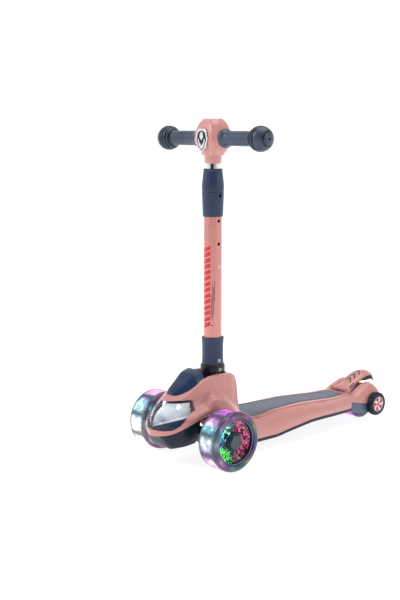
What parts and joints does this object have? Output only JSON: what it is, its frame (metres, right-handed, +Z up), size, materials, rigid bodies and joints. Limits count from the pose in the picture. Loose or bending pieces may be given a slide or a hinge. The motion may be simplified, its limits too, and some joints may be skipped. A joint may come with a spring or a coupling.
{
  "type": "kick scooter",
  "caption": "Folding three-wheeled lean-to-steer kick scooter for a child, with light-up wheels, a height-adjustable handlebar and a press-down rear brake.",
  "frame": {"origin": "on the ground, at the middle of the outline in plan", "axes": "+Z up, front at -Y, the rider's left at +X"},
  "size_m": [0.3174, 0.6455, 0.678],
  "materials": {
    "shell_pink": "glossy moulded plastic, coral pink",
    "tube_pink": "metallic pink paint on steel tube",
    "navy_plastic": "satin moulded plastic, slate navy",
    "navy_rubber": "satin rubber",
    "deep_blue_gloss": "high gloss",
    "slate_pad": "textured anti-slip rubber",
    "clear_lens": "clear moulded lens",
    "lamp_lens": "clear lens of a lamp",
    "black_metal": "black powder coat",
    "black_plastic": "black glass-filled nylon",
    "bright_steel": "zinc plated",
    "chrome_trim": "polished chrome",
    "urethane": "cast urethane",
    "friction_rubber": "hard rubber",
    "circuit_board": "solder mask",
    "clear_tyre": "clear polyurethane over coloured lights",
    "hub_facets": "faceted glitter plastic",
    "turbine_red": "glossy, with light petals"
  },
  "bodies": {
    "chassis": {"deck_shell": "shell_pink", "deck_base": "navy_plastic", "grip_pad": "slate_pad", "nose_cover": "deep_blue_gloss", "headlight_lens": "clear_lens", "headlight_housing": "deep_blue_gloss", "headlight_lamps": "lamp_lens", "light_board": "circuit_board", "nose_base": "navy_plastic", "hinge_bracket": "black_metal", "fold_bolt": "bright_steel", "kingpin": "bright_steel", "steering_bushings": "urethane", "rear_axle": "bright_steel", "rear_spacers": "bright_steel", "rear_cap_left": "navy_plastic", "rear_cap_right": "navy_plastic", "rear_turbine_left": "turbine_red", "rear_turbine_right": "turbine_red", "rear_panel_left": "navy_plastic", "rear_panel_right": "navy_plastic", "battery_box": "black_plastic", "battery_cells": "bright_steel", "battery_cover": "navy_plastic", "deck_screws": "bright_steel", "brake_pin": "bright_steel", "brake_spring": "bright_steel"},
    "front_truck": {"truck_beam": "black_metal", "front_axle_bolts": "bright_steel", "axle_nuts": "bright_steel"},
    "front_wheel_left": {"front_tyre_left": "clear_tyre", "front_hub_left": "hub_facets", "hub_cap_left": "hub_facets", "light_ring_left": "lamp_lens", "front_bearings_left": "bright_steel"},
    "front_wheel_right": {"front_tyre_right": "clear_tyre", "front_hub_right": "hub_facets", "hub_cap_right": "hub_facets", "light_ring_right": "lamp_lens", "front_bearings_right": "bright_steel"},
    "rear_wheel": {"rear_tyre": "clear_tyre", "rear_hub": "hub_facets", "rear_bearings": "bright_steel"},
    "brake": {"brake_fender": "shell_pink", "fender_liner": "navy_plastic", "brake_shoe": "friction_rubber"},
    "stem": {"hinge_knuckle": "black_plastic", "lower_tube": "tube_pink", "height_sleeve": "navy_plastic"},
    "fold_collar": {"fold_collar": "navy_plastic"},
    "height_clamp": {"height_clamp": "navy_plastic"},
    "upper_stem": {"upper_tube": "chrome_trim", "bar_head": "shell_pink", "head_badge": "chrome_trim", "bar_tube": "bright_steel", "grip_left": "navy_rubber", "grip_right": "navy_rubber", "grip_plugs": "black_plastic"},
    "snap_button": {"snap_button": "bright_steel"}
  },
  "joints": [
    {"name": "lean_steer", "type": "hinge", "parent": "chassis", "child": "front_truck", "pos_m": [0, -0.2175, 0.06], "axis": [0, -0.7071, 0.7071], "range_deg": [-12, 12], "stiffness_Nm_per_rad": 40},
    {"name": "front_wheel_left_spin", "type": "hinge", "parent": "front_truck", "child": "front_wheel_left", "pos_m": [0.1075, -0.2175, 0.06], "axis": [1, 0, 0], "continuous": true},
    {"name": "front_wheel_right_spin", "type": "hinge", "parent": "front_truck", "child": "front_wheel_right", "pos_m": [-0.1075, -0.2175, 0.06], "axis": [1, 0, 0], "continuous": true},
    {"name": "rear_wheel_spin", "type": "hinge", "parent": "chassis", "child": "rear_wheel", "pos_m": [0, 0.2825, 0.04], "axis": [1, 0, 0], "continuous": true},
    {"name": "brake_press", "type": "hinge", "parent": "chassis", "child": "brake", "pos_m": [0, 0.2295, 0.073], "axis": [-1, 0, 0], "range_deg": [0, 5.5], "stiffness_Nm_per_rad": 12, "springref_deg": -5.73, "deforming": ["brake_spring"]},
    {"name": "stem_fold", "type": "hinge", "parent": "chassis", "child": "stem", "pos_m": [0, -0.1625, 0.15], "axis": [-1, 0, 0], "range_deg": [0, 90]},
    {"name": "collar_twist", "type": "hinge", "parent": "stem", "child": "fold_collar", "pos_m": [0, -0.1625, 0.215], "axis": [0, 0, 1], "range_deg": [0, 30]},
    {"name": "clamp_twist", "type": "hinge", "parent": "stem", "child": "height_clamp", "pos_m": [0, -0.1625, 0.555], "axis": [0, 0, 1], "range_deg": [0, 90]},
    {"name": "height_slide", "type": "slide", "parent": "stem", "child": "upper_stem", "axis": [0, 0, 1], "range_m": [0, 0.142], "deforming": ["snap_button"]},
    {"name": "button_press", "type": "slide", "parent": "upper_stem", "child": "snap_button", "axis": [-1, 0, 0], "range_m": [0, 0.0038], "stiffness_N_per_m": 800, "springref_m": -0.002}
  ]
}
